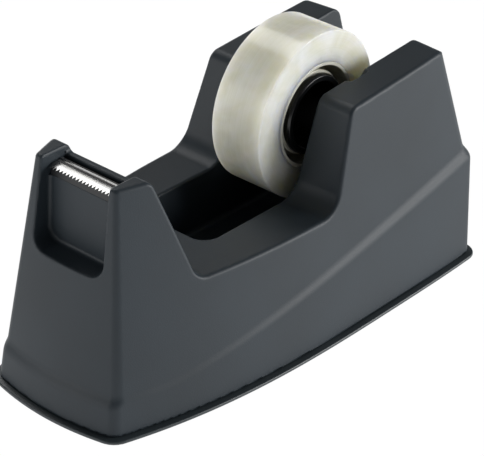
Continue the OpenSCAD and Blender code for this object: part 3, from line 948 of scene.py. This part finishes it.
@dataclass(frozen=True)
class Reel:
    """The lift-out hub, the core on it and the roll of tape."""

    centre: Array
    roll_radius: float
    half: float
    axle_half: float
    axle_radius: float
    collar_end: float
    drum_radius: float
    core_radius: float
    core_bore: float = 12.85
    core_wall: float = 1.05
    ring_half: float = 7.0
    web_half: float = 1.0
    wall: float = 1.7
    collar: float = 5.4
    lip: float = 0.5
    slot: float = 1.2
    fingers: int = 3
    finger_half_angle: float = 25.0
    first_finger: float = 116.0

    @classmethod
    def from_frame(cls) -> "Reel":
        """Takes the reel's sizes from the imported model."""
        low, high = box_mm("tape_roll")
        axle_low, axle_high = box_mm("hub_axle")
        drum_low, drum_high = box_mm("hub_drum")
        core_low, core_high = box_mm("tape_core")
        return cls(centre=(low + high) / 2, roll_radius=(high[2] - low[2]) / 2, half=high[1],
                   axle_half=axle_high[1], axle_radius=(axle_high[2] - axle_low[2]) / 2,
                   collar_end=drum_high[1], drum_radius=(drum_high[2] - drum_low[2]) / 2 - cls.lip,
                   core_radius=(core_high[2] - core_low[2]) / 2)

    def build_axle(self, finish: bpy.types.Material) -> None:
        """Turns the steel axle with its chamfered ends."""
        end, radius, bore = self.axle_half, self.axle_radius, 0.2
        axle = lathe("turned_axle", [(-end, bore, 0.05), (-end, radius, 0.5), (end, radius, 0.5),
                                     (end, bore, 0.05)], self.centre, 96)
        fit(axle, Body.AXLE, finish, ["hub_axle"])

    def build_drum(self, finish: bpy.types.Material) -> None:
        """Turns the drum with its collars and cuts the slots beside its spring fingers."""
        bore, outer = self.axle_radius + 0.08, self.drum_radius
        inner, open_end = outer - self.wall, 0.1 - self.half
        drum = lathe("hub_drum_body", [
            (-self.collar_end, bore, 0.15), (-self.collar_end, self.collar, 0.4),
            (1.0, self.collar, 0.5), (1.0, inner, 0.5), (open_end, inner, 0.25),
            (open_end, outer, 0.3), (open_end + 0.7, outer + self.lip, 0.2),
            (-self.ring_half - 0.3, outer + self.lip, 0.15),
            (-self.ring_half - 0.3, outer, 0.1), (self.ring_half, outer, 0.15),
            (self.ring_half, inner, 0.15), (3.0, inner, 0.4), (3.0, self.collar, 0.4),
            (self.collar_end, self.collar, 0.4), (self.collar_end, bore, 0.15)], self.centre, 160)
        cutters = []
        for finger, side in product(range(self.fingers), (-1, 1)):
            degrees = (self.first_finger + finger * 360 / self.fingers
                       + side * self.finger_half_angle)
            angle = math.radians(degrees)
            out = np.array([math.cos(angle), 0, math.sin(angle)])
            aside = np.array([-math.sin(angle), 0, math.cos(angle)]) * self.slot / 2
            ends = [self.centre + r * out + (0, y, 0)
                    for r in (inner - 1.5, outer + 2) for y in (-self.half - 1, -0.6)]
            order = (0, 1, 3, 2)
            corners = np.array([ends[i] - aside for i in order] + [ends[i] + aside for i in order])
            cutters.append(block("finger_slot", corners))
        cut(drum, cutters)
        fit(drum, Body.REEL, finish, ["hub_drum"])

    def build_cap(self, finish: bpy.types.Material) -> None:
        """Turns the cap that closes the drum's far side."""
        bore, plug = self.collar + 0.15, self.drum_radius - self.wall - 0.15
        start, face = 3.15, self.ring_half + 0.15
        flange = self.core_bore + 1.6
        cap = lathe("hub_end_cap", [
            (start, bore, 0.2), (start, plug, 0.3), (face, plug, 0.2), (face, flange, 0.2),
            (face + 1.4, flange, 0.6), (face + 1.4, bore + 2.5, 0.4), (face + 0.8, bore + 2.0, 0.3),
            (face + 0.8, bore, 0.2)], self.centre, 160)
        fit(cap, Body.REEL, finish, ["hub_cap"])

    def build_core(self, finish: bpy.types.Material) -> None:
        """Turns the clear core with its two ring walls and the web between them."""
        end, ring, web = self.half, self.ring_half, self.web_half
        outside, bore = self.core_radius, self.core_bore
        under, over = outside - self.core_wall, bore + self.core_wall
        core = lathe("clear_core", [
            (-end, under, 0.2), (-end, outside, 0.2), (end, outside, 0.2), (end, under, 0.2),
            (web, under, 0.6), (web, over, 0.6), (ring, over, 0.25), (ring, bore, 0.25),
            (-ring, bore, 0.25), (-ring, over, 0.25), (-web, over, 0.6), (-web, under, 0.6)],
            self.centre, 192)
        fit(core, Body.REEL, finish, ["tape_core"])

    def build_roll(self, finish: bpy.types.Material) -> None:
        """Turns the wound tape, with sides that are drawn in very slightly between their edges."""
        inner, outer, end = self.core_radius + 0.02, self.roll_radius, self.half
        waist = (inner + outer) / 2
        roll = lathe("wound_tape", [
            (-end, inner, 0.05), (-end + 0.12, waist, 3.0), (-end, outer, 0.35), (end, outer, 0.35),
            (end - 0.12, waist, 3.0), (end, inner, 0.05)], self.centre, 256)
        fit(roll, Body.REEL, finish, ["tape_roll"])


@dataclass(frozen=True)
class Studio:
    """White floor, soft lights and the camera."""

    azimuth: float = 219.74
    elevation: float = 30.65
    roll: float = 2.33
    distance: float = 683.55
    target: tuple[float, float, float] = (3.05, 0.0, 26.71)
    lens: float = 161.93
    shift: tuple[float, float] = (0.0054, 0.0061)

    def build(self) -> None:
        """Sets up everything round the object."""
        self.add_camera()
        self.add_floor()
        self.add_world()
        self.add_light("key", (0.62, -0.76, 0.2), 2400, 1400, 64)
        self.add_light("fill", (-0.85, 0.45, 0.12), 1200, 900, 6)
        self.add_light("back", (0.35, 0.93, 0.12), 1800, 900, 6)
        self.add_light("blade_light", (0.2, 0.55, 0.8), 900, 350, 2.0)
        bpy.context.scene.view_settings.view_transform = "Standard"

    def add_camera(self) -> None:
        """Puts the camera in front of the near side and above it."""
        azimuth, elevation, roll = (math.radians(a)
                                    for a in (self.azimuth, self.elevation, self.roll))
        back = Vector((math.cos(elevation) * math.cos(azimuth),
                       math.cos(elevation) * math.sin(azimuth), math.sin(elevation)))
        level = Vector((-math.sin(azimuth), math.cos(azimuth), 0))
        upright = back.cross(level)
        right = level * math.cos(roll) + upright * math.sin(roll)
        up = back.cross(right)
        camera = bpy.data.objects.new("camera", bpy.data.cameras.new("camera"))
        camera.data.sensor_width = 36
        camera.data.lens = self.lens
        camera.data.shift_x, camera.data.shift_y = self.shift
        camera.data.clip_start = 0.01
        turn = Matrix((right, up, back)).transposed().to_4x4()
        place = (Vector(self.target) + self.distance * back) * MM
        camera.matrix_world = Matrix.Translation(place) @ turn
        bpy.context.scene.collection.objects.link(camera)
        bpy.context.scene.camera = camera

    def add_floor(self) -> None:
        """Lays a floor that is as white as its own light."""
        reach = 3000.0
        corners = [(-reach, -reach, 0), (reach, -reach, 0), (reach, reach, 0), (-reach, reach, 0)]
        floor = make_object("floor", np.array(corners), [(0, 1, 2, 3)])
        material = bpy.data.materials.new("lit_white_paper")
        material.use_nodes = True
        tree = material.node_tree
        tree.nodes.clear()
        paper = add_node(tree, "ShaderNodeBsdfPrincipled", {
            "Base Color": linear("#202020"), "Roughness": 1.0, "Specular IOR Level": 0.0,
            "Emission Color": linear("#FFFFFF"), "Emission Strength": 1.0})
        add_node(tree, "ShaderNodeOutputMaterial", links={"Surface": paper.outputs["BSDF"]})
        floor.data.materials.append(material)

    def add_world(self) -> None:
        """Shows white past the floor and lights the object only a little."""
        world = bpy.data.worlds.new("studio")
        world.use_nodes = True
        tree = world.node_tree
        tree.nodes.clear()
        rays = add_node(tree, "ShaderNodeLightPath")
        shown = add_node(tree, "ShaderNodeMapRange", {"To Min": 0.11, "To Max": 1.0},
                         {"Value": rays.outputs["Is Camera Ray"]})
        sky = add_node(tree, "ShaderNodeBackground", {"Color": linear("#FFFFFF")},
                       {"Strength": shown.outputs["Result"]})
        add_node(tree, "ShaderNodeOutputWorld", links={"Surface": sky.outputs["Background"]})
        bpy.context.scene.world = world

    def add_light(self, name: str, direction: tuple[float, float, float], distance: float,
                  size: float, power: float) -> None:
        """Hangs a soft square light.

        Args:
            name: Name of the light.
            direction: Direction from the object to the light.
            distance: Distance from the object, in millimetres.
            size: Side of the square, in millimetres.
            power: Power in watts.
        """
        light = bpy.data.lights.new(name, "AREA")
        light.size, light.energy = size * MM, power
        lamp = bpy.data.objects.new(name, light)
        toward = Vector(direction).normalized()
        lamp.location = toward * distance * MM
        lamp.rotation_euler = toward.to_track_quat("Z", "Y").to_euler()
        bpy.context.scene.collection.objects.link(lamp)


def main() -> None:
    """Builds the studio and every piece."""
    logging.basicConfig(level=logging.INFO, format="%(name)s: %(message)s")
    Studio().build()
    housing = Housing.from_frame()
    reel = Reel.from_frame()
    # Spark-eroded ABS: soft, broad highlights with a fine sparkle.
    housing.build(Finish("spark_eroded_abs", "#232B31", "#293239", 0.5, 0.4, 0.04,
                         specular=0.4).material())
    # Satin ABS: smoother than the body, so its rim catches a line of light.
    satin = Finish("satin_black_abs", "#16181A", "#1B1D1F", 0.38, 0.3, 0.01).material()
    charcoal = Finish("satin_charcoal_abs", "#2B3236", "#30383C", 0.4, 0.4, 0.01).material()
    BasePlate.from_frame(housing).build(charcoal)
    dress_node("blade_carrier", satin)
    # Ground strip steel: bright lines across, darker where the strip faces away from the light.
    ground = GroundSteel("ground_steel", "#77777A", "#A3A29E", 0.22, 0.4, 0.004, metallic=1.0)
    Blade(*box_mm("cutting_blade")).build(ground.material())
    # Zinc plate: a cloudy grey metal.
    zinc = Finish("zinc_plated_steel", "#8D8F90", "#A9A8A3", 0.35, 0.5, 0.005,
                  metallic=1.0).material()
    reel.build_axle(zinc)
    dress_node("base_screws", zinc)
    # Gloss ABS: near black with clear small highlights.
    gloss = Finish("polished_black_abs", "#0E0F10", "#141517", 0.25, 0.6, 0.004).material()
    reel.build_drum(gloss)
    reel.build_cap(gloss)
    # Clear polystyrene: glassy at its edges, milky where it is thick.
    clear = ClearPolystyrene("clear_polystyrene", "#E6E4D6", "#D2D0BD", 0.2, 1.0, 0.004)
    reel.build_core(clear.material())
    # Wound film: a glossy skin over a milky depth. Its turns, 0.05 mm apart on a real roll, are
    # drawn 0.25 mm apart so that they show.
    film = WoundFilm("wound_film", "#E3E2D0", "#F6F5EC", 0.35, 0.25, 0.01,
                     centre=tuple(reel.centre))
    reel.build_roll(film.material())
    # Cast iron: rough, dark and pitted.
    iron = Finish("cast_iron", "#2B2A29", "#3A3836", 0.8, 0.8, 0.08).material()
    dress_node("front_ballast", iron)
    dress_node("back_ballast", iron)
    # Foam rubber: dead matt with fine open cells.
    foam = Finish("foam_rubber", "#161616", "#1D1D1C", 0.95, 0.5, 0.06, specular=0.2)
    dress_node("non_slip_sheet", foam.material())


if __name__ == "__main__":
    main()
